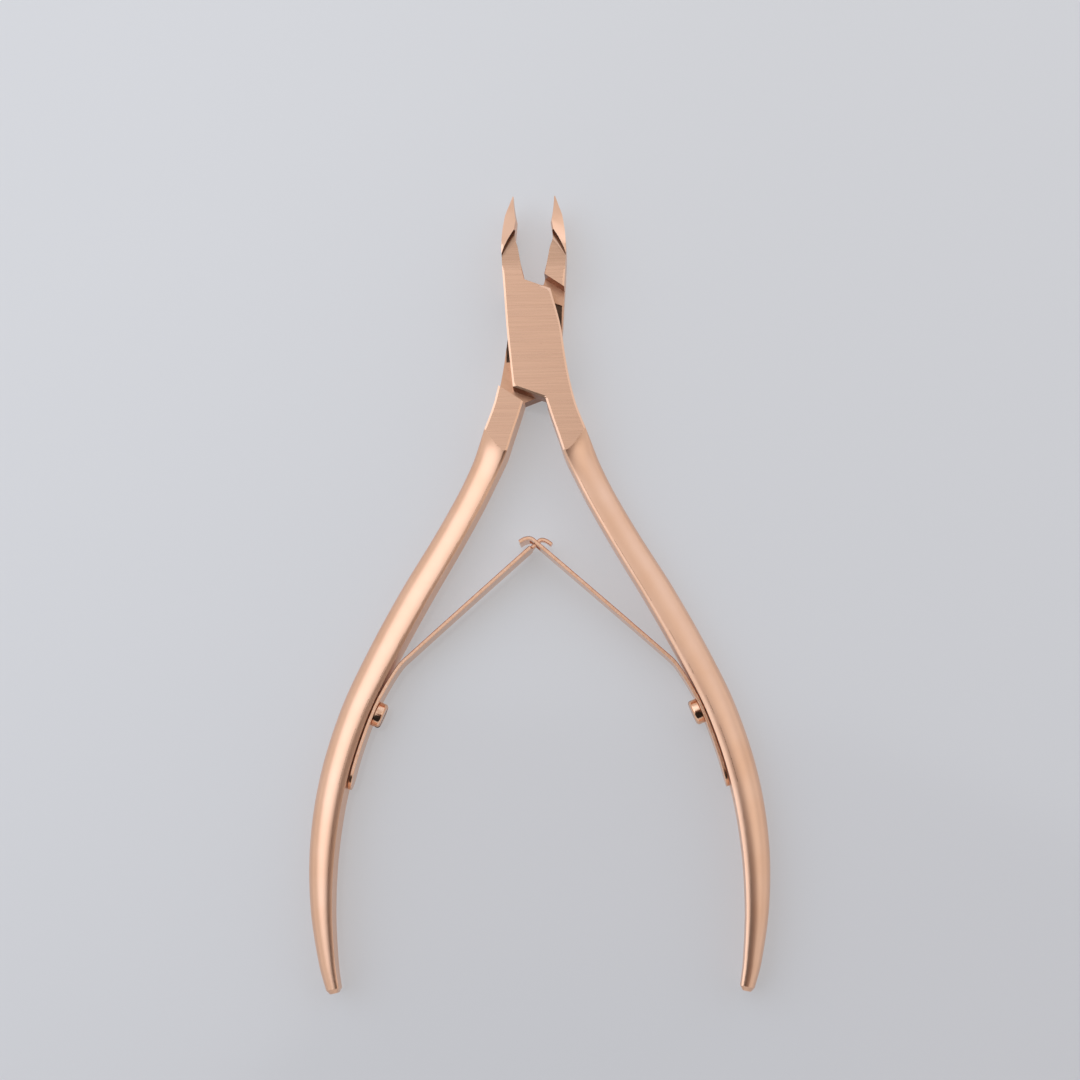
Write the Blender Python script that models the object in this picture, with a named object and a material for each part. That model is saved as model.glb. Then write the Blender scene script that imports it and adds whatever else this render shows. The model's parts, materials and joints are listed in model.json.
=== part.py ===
"""Cuticle nipper: two lap-jointed forgings, a flush rivet and a double leaf spring with its screws.

Lengths in this file are millimetres and angles are degrees, and MM turns lengths into metres.
+Y runs from the pivot to the jaw tips, +Z is up, and the origin is on the pivot's axis, in the
plane the tool lies on. The tool is drawn at rest, held fully open by its springs.
"""
import math

import bmesh
import bpy
from mathutils import Matrix, Vector

MM = 0.001

# Body: both halves share one outline, drawn here for the upper half (left jaw, right handle).
HALF_THICKNESS = 3.2          # from the mid-plane to each ground flat
UNCUT = 4.3                   # forged half thickness before the flats are ground
HALF_OPENING = 7.75           # each half turns this far to close the jaws
CLEARANCE = 0.3               # between pieces that touch on the real tool
TIP_Y = 21.4                  # pivot to jaw tips
HEEL_Y = 17.3                 # pivot to the heel of the cutting edges
EDGE_GAP = 0.1                # left between a cutting edge and the middle when closed

# Lap joint, as distances of its straight edges from the pivot.
LAP_TOP = 7.05
LAP_BOTTOM = 8.5
SHOULDER_TOP = 8.15
SHOULDER_BOTTOM = 9.3
LAP_SLOPE = 20.5
SHOULDER_SLOPE = 34.3
RIVET_RADIUS = 1.9

# Hollow ground behind each cutting edge: its rim, from beyond the inner edge to the outer edge.
SCOOP_RIM = [(-1.6, 18.9), (-2.46, 17.3), (-3.09, 15.95), (-3.66, 14.65), (-4.18, 13.35), (-4.8, 11.7)]
SCOOP_END_Y = 8.8             # where it runs out
SCOOP_FULL_Y = 16.5           # and where it is deepest
SCOOP_DEPTH = 1.6
SCOOP_RUN_OUT = 0.03          # height of the wheel above the flat where the hollow starts and ends
SCOOP_FILLET = (3.2, 0.5)     # length of the curved drop below the rim, at its inner and outer end
SCOOP_STEPS = 7

# Handle: centre line (x, y), width and crown half height from the neck to the end.
HANDLE = [
    (4.30, -11.8, 3.95, 4.20),
    (5.20, -14.3, 4.05, 4.00),
    (6.25, -17.1, 4.30, 3.08),
    (7.50, -20.0, 4.15, 2.72),
    (9.50, -24.1, 4.10, 2.70),
    (12.85, -30.1, 4.15, 2.78),
    (17.85, -38.5, 4.35, 2.90),
    (22.50, -47.1, 4.35, 3.02),
    (26.20, -55.0, 4.25, 3.12),
    (29.05, -64.2, 4.15, 3.12),
    (30.45, -73.2, 3.90, 2.98),
    (30.60, -81.9, 3.33, 2.72),
    (29.75, -89.8, 2.50, 2.34),
    (28.85, -93.9, 1.90, 2.10),
]
ROUND_START_Y = -12.2         # the handle's section starts to round off here
ROUND_FULL_Y = -18.5          # and is fully rounded here
NECK_RIDGE = 0.10             # crown line near the neck, as a fraction of the width from inside
END_RIDGE = 0.22              # and along the lower half of the handle
RIDGE_SHIFT_Y = (-35.0, -65.0)
INNER_DROP = 0.06             # fall of the top from crown to inner edge, as a fraction
OUTER_POWER = 2.1             # fullness of the rounded outer side
OUTER_WALL = 0.06             # least height left on the outer side, as a fraction

# Springs, drawn for the right one
LEAF_THICKNESS = 0.5
LEAF_WIDTH = 4.4
TAIL_Y = -65.3                # where the leaf's tail ends
LIFT_Y = -52.2                # where the leaf leaves the handle
BEND = (19.8, -48.3)
ARM_START = (18.0, -46.5)
CROSSING = (0.0, -30.5)       # where the two leaves hook through each other
RIGHT_TIP = ((-0.75, -29.95), (-1.6, -30.0), (-2.4, -30.45))
LEFT_TIP = ((-0.65, -29.95), (-1.4, -30.1), (-2.2, -30.65))
SLOT_WIDTH = 2.4
SLOT_LENGTH = 1.9
TONGUE_WIDTH = 1.5
TONGUE_REACH = 0.8            # the tongue starts this far before the crossing
TONGUE_SHOULDER = 0.4
LEAF_STEP = 1.4

# Screws
SCREW_Y = -54.6
SCREW_RADIUS = 0.95
SCREW_LENGTH = 3.3
SCREW_HEAD_RADIUS = 1.8
SCREW_HEAD_HEIGHT = 1.2
SCREW_HEAD_CHAMFER = 0.3
DRIVER_SLOT_WIDTH = 0.5
DRIVER_SLOT_DEPTH = 0.6
DRIVER_SLOT_TURN = 80.0

STATION_STEP = 2.4            # spacing of the sections along the body
BEVEL_LINE = 0.90             # where the bevel along the cutting edge starts, across the head
SECTION_SHARES = (0.0, 0.05, 0.12, 0.22, 0.36, 0.50, 0.65, 0.80, BEVEL_LINE, 0.95, 0.98, 1.0)

# Corners of the outline and of the heights, as rows of flat_stations.
LEFT_CORNERS = {12, 13}       # ends of the lap's lower edge
RIGHT_CORNERS = {3, 8, 9}     # heel of the cutting edge and ends of the lap's upper edge
HEIGHT_CORNERS = {3, 7, 13}   # heel, end of the head and start of the handle


# ---------------------------------------------------------------- curves

def polar(angle):
    """Unit vector at an angle in degrees from +X."""
    return Vector((math.cos(math.radians(angle)), math.sin(math.radians(angle))))


def smooth_step(start, end, value):
    """0 before start, 1 after end, and a smooth ramp between."""
    share = min(1.0, max(0.0, (value - start) / (end - start)))
    return share * share * (3 - 2 * share)


def path_lengths(points):
    """Distance from the first point to each point, along the straight lines between them."""
    lengths = [0.0]
    for start, end in zip(points, points[1:]):
        lengths.append(lengths[-1] + (end - start).length)
    return lengths


def slope_at(points, knots, index, one_sided):
    """Rate of change at a point: over both neighbours, or over one side where that is asked."""
    before, after = max(index - 1, 0), min(index + 1, len(points) - 1)
    if one_sided == "before":
        after = index
    elif one_sided == "after":
        before = index
    return (points[after] - points[before]) / (knots[after] - knots[before])


def smooth_line(points, counts, corners=(), knots=None):
    """Curve through the points, with counts[i] steps from point i to the next."""
    points = [Vector(point) for point in points]
    knots = knots or path_lengths(points)
    line = [points[0]]
    for i, count in enumerate(counts):
        start, end = points[i], points[i + 1]
        span = knots[i + 1] - knots[i]
        leave = span * slope_at(points, knots, i, "after" if i in corners else None)
        arrive = span * slope_at(points, knots, i + 1, "before" if i + 1 in corners else None)
        for step in range(1, count + 1):
            t = step / count
            line.append(start * (2 * t**3 - 3 * t**2 + 1) + end * (3 * t**2 - 2 * t**3)
                        + leave * (t**3 - 2 * t**2 + t) + arrive * (t**3 - t**2))
    return line


def line_point(distance, slope, x, side):
    """Point at x on a straight edge that falls to the right at slope, above or below the pivot."""
    normal = polar(90 - slope) * side
    return (x, (distance - normal.x * x) / normal.y)


# ---------------------------------------------------------------- mesh helpers

def new_object(name, mesh_data, material, place, origin=(0, 0, 0)):
    """Object from a bmesh in millimetres, moved by place, with its origin at the given point."""
    to_metres = Matrix.Scale(MM, 4) @ Matrix.Translation(-Vector(origin)) @ place
    bmesh.ops.recalc_face_normals(mesh_data, faces=mesh_data.faces)
    bmesh.ops.transform(mesh_data, matrix=to_metres, verts=mesh_data.verts)
    mesh = bpy.data.meshes.new(name)
    mesh_data.to_mesh(mesh)
    mesh_data.free()
    mesh.materials.append(material)
    mesh.shade_smooth()
    mesh.set_sharp_from_angle(angle=math.radians(28))
    item = bpy.data.objects.new(name, mesh)
    item.location = Vector(origin) * MM
    bpy.context.collection.objects.link(item)
    return item


def loft(rings):
    """Closed skin over rings of equal length, with both ends capped."""
    mesh_data = bmesh.new()
    loops = [[mesh_data.verts.new(point) for point in ring] for ring in rings]
    count = len(loops[0])
    for first, second in zip(loops, loops[1:]):
        for i in range(count):
            j = (i + 1) % count
            mesh_data.faces.new((first[i], first[j], second[j], second[i]))
    mesh_data.faces.new(loops[0])
    mesh_data.faces.new(loops[-1])
    return mesh_data


def turned(profile, start, axis, sides):
    """Solid of revolution; profile lists (distance along the axis, radius)."""
    axis = Vector(axis).normalized()
    across = axis.orthogonal().normalized()
    up = axis.cross(across)
    turns = [2 * math.pi * i / sides for i in range(sides)]
    rings = []
    for distance, radius in profile:
        centre = Vector(start) + axis * distance
        rings.append([centre + radius * (across * math.cos(t) + up * math.sin(t)) for t in turns])
    return loft(rings)


def box(centre, axes, half_sizes):
    """Box about a centre, with its half sizes along three axes."""
    mesh_data = bmesh.new()
    bmesh.ops.create_cube(mesh_data, size=2.0)
    columns = [Vector(axis).normalized() * size for axis, size in zip(axes, half_sizes)]
    turn = Matrix(columns).transposed().to_4x4()
    bmesh.ops.transform(mesh_data, matrix=Matrix.Translation(centre) @ turn, verts=mesh_data.verts)
    return mesh_data


def cut(item, name, mesh_data, place):
    """Cut a shape out of an object with a Boolean modifier and a hidden cutter."""
    cutter = new_object(name, mesh_data, item.data.materials[0], place)
    cutter.hide_render = True
    cutter.display_type = 'WIRE'
    modifier = item.modifiers.new(name, 'BOOLEAN')
    modifier.operation = 'DIFFERENCE'
    modifier.solver = 'EXACT'
    modifier.object = cutter


def metal(name, color, roughness):
    """Plated steel."""
    material = bpy.data.materials.new(name)
    material.use_nodes = True
    shader = material.node_tree.nodes["Principled BSDF"]
    shader.inputs["Base Color"].default_value = (*color, 1.0)
    shader.inputs["Metallic"].default_value = 1.0
    shader.inputs["Roughness"].default_value = roughness
    return material


# ---------------------------------------------------------------- the two halves

def flat_stations():
    """Rows from tip to crotch: left edge, right edge, and the half heights at the left edge,
    at the bevel line and at the right edge."""
    close = math.radians(HALF_OPENING)
    tip_x = -TIP_Y * math.sin(close) - EDGE_GAP
    heel_x = -HEEL_Y * math.sin(close) - EDGE_GAP
    return [
        ((tip_x - 0.14, TIP_Y), (tip_x, TIP_Y - 0.05), 0.35, 0.30, 0.05),
        ((-3.73, 19.45), (-2.86, 19.85), 1.30, 1.12, 0.05),
        ((-4.17, 18.05), (-2.68, 18.60), 1.95, 1.64, 0.05),
        ((-4.44, 16.40), (heel_x, HEEL_Y), 2.45, 2.08, 0.05),
        ((-4.56, 15.54), (-2.62, 16.30), 2.68, 2.32, 1.60),
        ((-4.65, 14.40), (-2.77, 14.55), 2.95, 2.72, 2.60),
        ((-4.71, 12.78), (-2.38, 13.20), 3.20, 3.14, 3.10),
        ((-4.62, 10.49), (-1.91, 10.49), UNCUT, UNCUT, UNCUT),
        ((-4.51, 8.41), line_point(LAP_TOP, LAP_SLOPE, -1.35, 1), UNCUT, UNCUT, UNCUT),
        ((-4.33, 5.92), line_point(LAP_TOP, LAP_SLOPE, 2.38, 1), UNCUT, UNCUT, UNCUT),
        ((-4.00, 0.95), (3.78, 1.27), UNCUT, UNCUT, UNCUT),
        ((-3.61, -3.37), (4.51, -3.78), UNCUT, UNCUT, UNCUT),
        (line_point(LAP_BOTTOM, LAP_SLOPE, -3.15, -1), (5.06, -6.85), UNCUT, UNCUT, UNCUT),
        (line_point(LAP_BOTTOM, LAP_SLOPE, 1.55, -1), (5.70, -9.62), UNCUT, UNCUT, UNCUT),
    ]


def handle_stations():
    """The handle's rows in the same form as flat_stations."""
    centres = [Vector(row[:2]) for row in HANDLE]
    knots = path_lengths(centres)
    rows = []
    for i, (x, y, width, crown) in enumerate(HANDLE):
        along = slope_at(centres, knots, i, None).normalized()
        outward = Vector((-along.y, along.x)) * width / 2
        rows.append((centres[i] - outward, centres[i] + outward, crown, crown, crown))
    return rows


def top_height(share, y, left_height, right_height, edge_height):
    """Half height of the body at a share of the width from its left edge."""
    if share > BEVEL_LINE:
        bevel = (share - BEVEL_LINE) / (1 - BEVEL_LINE)
        wedge = right_height + (edge_height - right_height) * bevel
    else:
        wedge = left_height + (right_height - left_height) * share / BEVEL_LINE
    ridge = NECK_RIDGE + (END_RIDGE - NECK_RIDGE) * smooth_step(-RIDGE_SHIFT_Y[0], -RIDGE_SHIFT_Y[1], -y)
    if share < ridge:
        rounded = 1 - INNER_DROP * (1 - share / ridge) ** 2
    else:
        side = (share - ridge) / (1 - ridge)
        rounded = max(OUTER_WALL, (1 - side**OUTER_POWER) ** (1 / OUTER_POWER))
    weight = smooth_step(-ROUND_START_Y, -ROUND_FULL_Y, -y)
    return wedge * (1 - weight + weight * rounded)


def section(left, right, heights):
    """Ring of points around the body between its left and right edge."""
    top = []
    for share in SECTION_SHARES:
        x, y = left.lerp(right, share)
        top.append((x, y, top_height(share, y, *heights)))
    bottom = [(x, y, -z) for x, y, z in reversed(top)]
    return top + bottom


def forging(name, material, place):
    """One half, drawn about the mid-plane and then placed: body, ground flats, lap and holes."""
    rows = flat_stations() + handle_stations()
    lefts = [Vector(row[0]) for row in rows]
    rights = [Vector(row[1]) for row in rows]
    heights = [Vector(row[2:5]) for row in rows]
    centres = [(left + right) / 2 for left, right in zip(lefts, rights)]
    counts = []
    for i in range(len(rows) - 1):
        span = max((side[i + 1] - side[i]).length for side in (lefts, rights))
        counts.append(max(1, round(span / STATION_STEP)))
    left_line = smooth_line(lefts, counts, LEFT_CORNERS)
    right_line = smooth_line(rights, counts, RIGHT_CORNERS)
    height_line = smooth_line(heights, counts, HEIGHT_CORNERS, path_lengths(centres))
    body = loft([section(*row) for row in zip(left_line, right_line, height_line)])
    for side in (1, -1):
        grind_flat(body, side)
    half = new_object(name, body, material, place)
    cut(half, name + "_lap_cutter", lap_recess(), place)
    cut(half, name + "_rivet_cutter", rivet(RIVET_RADIUS + CLEARANCE, 4 * HALF_THICKNESS), place)
    cut(half, name + "_thread_cutter", screw_hole(-SCREW_LENGTH - CLEARANCE, 1), place)
    for side in (1, -1):
        cut(half, f"{name}_scoop_cutter_{side}", scoop(side), place)
    return half


def grind_flat(body, side):
    """Cut the body off level at its half thickness, above or below."""
    geometry = body.verts[:] + body.edges[:] + body.faces[:]
    bmesh.ops.bisect_plane(body, geom=geometry, dist=1e-5, plane_co=(0, 0, side * HALF_THICKNESS),
                           plane_no=(0, 0, side), clear_outer=True)
    rim = [edge for edge in body.edges if edge.is_boundary]
    bmesh.ops.contextual_create(body, geom=rim)


def lap_recess():
    """The space below the upper lap, between its two shoulders, where the other lap swings."""
    across = polar(90 + SHOULDER_SLOPE).to_3d()
    along = polar(SHOULDER_SLOPE).to_3d()
    middle = across * (SHOULDER_TOP - SHOULDER_BOTTOM) / 2
    middle.z = -HALF_THICKNESS + CLEARANCE / 2
    reach = (SHOULDER_TOP + SHOULDER_BOTTOM) / 2
    return box(middle, (along, across, (0, 0, 1)), (4 * LAP_BOTTOM, reach, HALF_THICKNESS))


def scoop_height(y, rim_y, fillet):
    """Half height left by the grinding wheel at y: a curved drop below its rim, then a slow rise."""
    top = HALF_THICKNESS + SCOOP_RUN_OUT
    floor = top - (SCOOP_DEPTH + SCOOP_RUN_OUT) * smooth_step(SCOOP_END_Y, SCOOP_FULL_Y, y)
    rest = 1 - min(1.0, (rim_y - y) / fillet)
    return floor + (top - floor) * rest**2


def scoop(side):
    """Hollow ground behind the cutting edge: steep below its rim and running out into the flat."""
    rim = smooth_line(SCOOP_RIM, [3] * (len(SCOOP_RIM) - 1))
    rings = []
    for i, point in enumerate(rim):
        fillet = SCOOP_FILLET[0] + (SCOOP_FILLET[1] - SCOOP_FILLET[0]) * i / (len(rim) - 1)
        ring = [(point.x, point.y, side * 2 * HALF_THICKNESS)]
        for step in range(SCOOP_STEPS + 1):
            y = point.y + (SCOOP_END_Y - point.y) * (step / SCOOP_STEPS) ** 2
            ring.append((point.x, y, side * scoop_height(y, point.y, fillet)))
        ring.append((point.x, SCOOP_END_Y, side * 2 * HALF_THICKNESS))
        rings.append(ring)
    return loft(rings)


def rivet(radius, length):
    """Round pin about the pivot's axis, centred on the mid-plane."""
    return turned([(0, radius), (length, radius)], (0, 0, -length / 2), (0, 0, 1), 40)


# ---------------------------------------------------------------- springs and screws

def inner_wall():
    """The handle's inner edge, as a fine line from the neck to the end."""
    points = [row[0] for row in handle_stations()]
    return smooth_line(points, [12] * (len(points) - 1))


def wall_at(y):
    """Point on the handle's inner wall at y, and the direction away from the handle there."""
    line = inner_wall()
    index = min(range(1, len(line) - 1), key=lambda i: abs(line[i].y - y))
    along = (line[index - 1] - line[index + 1]).normalized()
    return line[index], Vector((-along.y, along.x))


def off_wall(y, distance):
    """Point at a distance from the inner wall."""
    point, away = wall_at(y)
    return point + away * distance


def leaf_line(tip):
    """Fine centre line of a leaf: along the handle, over the bend, up the arm and to the tip."""
    stand_off = CLEARANCE + LEAF_THICKNESS / 2
    tail = [off_wall(TAIL_Y + (LIFT_Y - TAIL_Y) * i / 5, stand_off) for i in range(6)]
    points = [*tail, BEND, ARM_START, CROSSING, *tip]
    return smooth_line(points, [12] * (len(points) - 1))


def along_line(line, lengths, distance):
    """Point and direction at a distance along a line."""
    i = max(index for index, start in enumerate(lengths[:-1]) if start <= distance)
    share = (distance - lengths[i]) / (lengths[i + 1] - lengths[i])
    return line[i].lerp(line[i + 1], share), (line[i + 1] - line[i]).normalized()


def leaf_half_width(distance, tongue_start):
    """Half width of a leaf at a distance from its tail end; a tongue starts with short shoulders."""
    radius = LEAF_WIDTH / 2
    if distance < radius:
        return math.sqrt(radius**2 - (radius - distance) ** 2)
    narrow = min(1.0, max(0.0, (distance - tongue_start) / TONGUE_SHOULDER))
    return radius + (TONGUE_WIDTH / 2 - radius) * narrow


def leaf_distances(crossing, length, has_tongue):
    """Where a leaf's sections stand, as distances from its tail end."""
    radius = LEAF_WIDTH / 2
    arm_end = crossing - TONGUE_REACH - (TONGUE_SHOULDER if has_tongue else 0)
    tip_start = crossing - TONGUE_REACH + (0 if has_tongue else TONGUE_SHOULDER)
    arm_count = round((arm_end - radius) / LEAF_STEP)
    round_end = [radius * (1 - math.cos(math.pi / 2 * i / 5)) for i in range(1, 5)]
    arm = [radius + (arm_end - radius) * i / arm_count for i in range(arm_count + 1)]
    tip = [tip_start + (length - tip_start) * i / 10 for i in range(11)]
    return round_end + arm + tip


def leaf(name, material, place, tip, has_tongue):
    """A flat spring: a strip on edge, with a round tail, a screw hole and a formed tip."""
    line = leaf_line(tip)
    lengths = path_lengths(line)
    crossing = lengths[line.index(Vector(CROSSING))]
    tongue_start = crossing - TONGUE_REACH - TONGUE_SHOULDER if has_tongue else math.inf
    rings = []
    for distance in leaf_distances(crossing, lengths[-1], has_tongue):
        point, along = along_line(line, lengths, distance)
        side = Vector((-along.y, along.x)) * LEAF_THICKNESS / 2
        height = leaf_half_width(distance, tongue_start)
        edges = (point + side, point - side)
        rings.append([(edges[0].x, edges[0].y, height), (edges[1].x, edges[1].y, height),
                      (edges[1].x, edges[1].y, -height), (edges[0].x, edges[0].y, -height)])
    item = new_object(name, loft(rings), material, place, place @ Vector((*BEND, 0)))
    cut(item, name + "_hole_cutter", screw_hole(-CLEARANCE, 3), place)
    if not has_tongue:
        cut(item, name + "_slot_cutter", tongue_slot(*along_line(line, lengths, crossing)), place)
    return item


def tongue_slot(centre, along):
    """Slot in the right leaf's tip for the left leaf's tongue."""
    across = Vector((-along.y, along.x, 0))
    half_sizes = (SLOT_LENGTH / 2, 2 * LEAF_THICKNESS, SLOT_WIDTH / 2)
    return box(centre.to_3d(), (along.to_3d(), across, (0, 0, 1)), half_sizes)


def screw_hole(start, end):
    """Round hole on the screw's axis between two distances from the handle's inner wall."""
    wall, away = wall_at(SCREW_Y)
    radius = SCREW_RADIUS + CLEARANCE
    return turned([(start, radius), (end, radius)], wall.to_3d(), away.to_3d(), 24)


def spring_screw(name, material, place):
    """Slotted cheese-head screw through the leaf into the handle."""
    wall, away = wall_at(SCREW_Y)
    away = away.to_3d()
    seat = 2 * CLEARANCE + LEAF_THICKNESS
    top = seat + SCREW_HEAD_HEIGHT
    profile = [
        (-SCREW_LENGTH, SCREW_RADIUS * 0.8),
        (-SCREW_LENGTH + 0.3, SCREW_RADIUS),
        (seat, SCREW_RADIUS),
        (seat, SCREW_HEAD_RADIUS),
        (top - SCREW_HEAD_CHAMFER, SCREW_HEAD_RADIUS),
        (top, SCREW_HEAD_RADIUS - SCREW_HEAD_CHAMFER),
    ]
    item = new_object(name, turned(profile, wall.to_3d(), away, 32), material, place)
    across = Vector((-away.y, away.x, 0))
    turn = math.radians(DRIVER_SLOT_TURN)
    width = across * math.cos(turn) + Vector((0, 0, 1)) * math.sin(turn)
    slot = box(wall.to_3d() + away * top, (away, width, away.cross(width)),
               (DRIVER_SLOT_DEPTH, DRIVER_SLOT_WIDTH / 2, 2 * SCREW_HEAD_RADIUS))
    cut(item, name + "_driver_cutter", slot, place)
    return item


def main():
    for item in list(bpy.data.objects):
        bpy.data.objects.remove(item)
    satin = metal("satin_rose_gold", (0.80, 0.55, 0.40), 0.32)
    polished = metal("polished_rose_gold", (0.82, 0.52, 0.37), 0.18)
    upper = Matrix.Translation((0, 0, HALF_THICKNESS))
    lower = upper @ Matrix.Diagonal((-1, 1, -1, 1))
    forging("upper_half", satin, upper)
    forging("lower_half", satin, lower)
    new_object("pivot_rivet", rivet(RIVET_RADIUS, 2 * HALF_THICKNESS), satin, upper)
    leaf("right_spring", polished, upper, RIGHT_TIP, False)
    leaf("left_spring", polished, lower, LEFT_TIP, True)
    spring_screw("right_spring_screw", polished, upper)
    spring_screw("left_spring_screw", polished, lower)


main()
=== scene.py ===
"""The looks of the cuticle nipper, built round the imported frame.

Lengths in the shape functions are millimetres about the pivot's axis and the mid-plane of the
tool, and angles are degrees. Each half, leaf and screw is drawn for the upper half (right handle)
and turned half a turn about the tool's long axis for the lower one.
"""
import json
import math

import bmesh
import bpy
from mathutils import Matrix, Vector

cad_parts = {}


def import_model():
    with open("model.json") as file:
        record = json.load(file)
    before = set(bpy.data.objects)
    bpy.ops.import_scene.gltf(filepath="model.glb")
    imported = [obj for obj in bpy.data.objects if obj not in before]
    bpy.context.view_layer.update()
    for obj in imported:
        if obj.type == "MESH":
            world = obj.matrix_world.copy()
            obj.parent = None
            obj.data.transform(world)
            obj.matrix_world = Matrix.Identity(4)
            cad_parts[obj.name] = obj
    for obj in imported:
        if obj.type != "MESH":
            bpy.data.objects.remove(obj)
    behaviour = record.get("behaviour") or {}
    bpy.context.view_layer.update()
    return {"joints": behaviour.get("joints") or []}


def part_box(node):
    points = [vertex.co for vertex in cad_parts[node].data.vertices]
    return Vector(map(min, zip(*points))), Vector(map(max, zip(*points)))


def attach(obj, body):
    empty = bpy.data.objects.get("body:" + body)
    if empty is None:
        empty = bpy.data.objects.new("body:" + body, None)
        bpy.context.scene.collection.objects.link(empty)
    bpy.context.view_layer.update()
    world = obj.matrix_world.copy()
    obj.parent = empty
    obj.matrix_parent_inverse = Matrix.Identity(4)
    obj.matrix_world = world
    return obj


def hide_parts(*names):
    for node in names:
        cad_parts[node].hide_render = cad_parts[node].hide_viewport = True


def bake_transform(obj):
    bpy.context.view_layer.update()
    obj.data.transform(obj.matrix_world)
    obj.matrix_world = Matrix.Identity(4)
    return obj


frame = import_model()
JOINTS = {joint["name"]: joint for joint in frame["joints"]}

MM = 0.001
HALF_THICKNESS = (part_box("upper_half")[1].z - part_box("upper_half")[0].z) / 2 / MM
MID_PLANE = JOINTS["jaw_pivot"]["pos_m"][2]
PLACE_UPPER = Matrix.Translation((0, 0, MID_PLANE)) @ Matrix.Scale(MM, 4)
PLACE_LOWER = PLACE_UPPER @ Matrix.Diagonal((-1, 1, -1, 1))

# Forging: outline and heights
UNCUT = 4.3                     # forged half thickness before the flats are ground
HALF_OPENING = 7.75             # each half turns this far to close the jaws
TIP_Y = 21.4                    # pivot to jaw tips
HEEL_Y = 17.3                   # pivot to the heel of the cutting edges
EDGE_GAP = 0.1                  # left between a cutting edge and the middle when closed
LAP_TOP = 7.05
LAP_BOTTOM = 8.5
SHOULDER_TOP = 8.15
SHOULDER_BOTTOM = 9.3
LAP_SLOPE = 20.5
SHOULDER_SLOPE = 34.3
LAP_GAP = 0.06
RIVET_RADIUS = 1.9
RIVET_GAP = 0.004
CHAMFER_WIDTH = 0.28
CHAMFER_HEIGHT = 0.13
JAW_CHAMFER_SHARE = 4.0         # the jaws' inner edges are broken this much less
BEVEL_LINE = 0.9
PAD_DEPTH = 0.06
PAD = [(-7.0, 3.7), (4.2, 7.75), (4.2, -4.0), (4.1, -4.8), (3.8, -5.6), (3.4, -6.1), (-7.0, -13.2)]
POCKET_DEPTH = 0.3
POCKET = [(-4.0, 4.8), (4.2, 7.75), (4.2, -3.6), (-3.7, -3.6)]

# Hollow ground behind each cutting edge: its rim, from beyond the inner edge to the outer edge.
SCOOP_RIM = [(-1.6, 18.9), (-2.46, 17.3), (-3.09, 15.95), (-3.66, 14.65), (-4.18, 13.35), (-4.8, 11.7)]
SCOOP_END_Y = 8.8               # where it runs out
SCOOP_FULL_Y = 16.5             # and where it is deepest
SCOOP_DEPTH = 1.6
SCOOP_RUN_OUT = 0.03            # height of the wheel above the flat where the hollow starts and ends
SCOOP_FILLET = (3.2, 0.5)       # length of the curved drop below the rim, at its inner and outer end
SCOOP_STEPS = 30
HOLLOW_PAINTED_SHADE_REACH = (4.2, 0.6)       # reach of the painted shade below the rim, at its inner and outer end

# Handle: centre line (x, y), width and crown half height from the neck to the end.
HANDLE = [
    (4.30, -11.8, 3.95, 4.20),
    (5.20, -14.3, 4.05, 4.00),
    (6.25, -17.1, 4.30, 3.08),
    (7.50, -20.0, 4.15, 2.72),
    (9.50, -24.1, 4.10, 2.70),
    (12.85, -30.1, 4.15, 2.78),
    (17.85, -38.5, 4.35, 2.90),
    (22.50, -47.1, 4.35, 3.02),
    (26.20, -55.0, 4.25, 3.12),
    (29.05, -64.2, 4.15, 3.12),
    (30.45, -73.2, 3.90, 2.98),
    (30.60, -81.9, 3.33, 2.72),
    (29.75, -89.8, 2.50, 2.34),
    (28.85, -93.9, 1.90, 2.10),
]
ROUND_START_Y = -12.2           # the handle's section starts to round off here
ROUND_FULL_Y = -18.5            # and is fully rounded here
NECK_RIDGE = 0.10               # crown line near the neck, as a fraction of the width from inside
END_RIDGE = 0.22                # and along the lower half of the handle
RIDGE_SHIFT_Y = (-35.0, -65.0)
INNER_DROP = 0.06               # fall of the top from crown to inner edge, as a fraction
OUTER_POWER = 2.1               # fullness of the rounded outer side
OUTER_WALL = 0.06               # least height left on the outer side, as a fraction

# Springs
WALL_GAP = 0.12
LEAF_THICKNESS = 0.5
LEAF_WIDTH = 4.4
LEAF_EDGE = 0.09                # break of the leaf's edges
TAIL_Y = -65.3                  # where the leaf's tail ends
LIFT_Y = -52.2                  # where the leaf leaves the handle
BEND = (JOINTS["right_leaf_flex"]["pos_m"][0] / MM, JOINTS["right_leaf_flex"]["pos_m"][1] / MM)
ARM_START = (18.0, -46.5)
CROSSING = (0.0, -30.5)         # where the two leaves hook through each other
RIGHT_TIP = ((-0.75, -29.95), (-1.6, -30.0), (-2.4, -30.45))
LEFT_TIP = ((-0.65, -29.95), (-1.4, -30.1), (-2.2, -30.65))
SLOT_WIDTH = 2.4
SLOT_LENGTH = 1.9
TONGUE_WIDTH = 1.5
TONGUE_REACH = 0.8              # the tongue starts this far before the crossing
TONGUE_SHOULDER = 0.4

# Screws
SCREW_Y = -54.6
SCREW_RADIUS = 0.95
SCREW_LENGTH = 3.3
SCREW_HEAD_RADIUS = 1.8
SCREW_TOP = 1.85
SCREW_HEAD_CHAMFER = 0.4
DRIVER_SLOT_WIDTH = 0.5
DRIVER_SLOT_DEPTH = 0.6
DRIVER_SLOT_TURN = 80.0
SCREW_POINT_LENGTH = 0.3        # taper at the screw's far end
SCREW_POINT_SHARE = 0.8         # and its radius beside the shank's
SCREW_HEAD_EDGE = 0.06          # break of the head's lower edge
SEAT_GAP = 0.03                 # between the head and the leaf
HOLE_GAP = 0.08                 # between the shank and its hole

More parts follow.
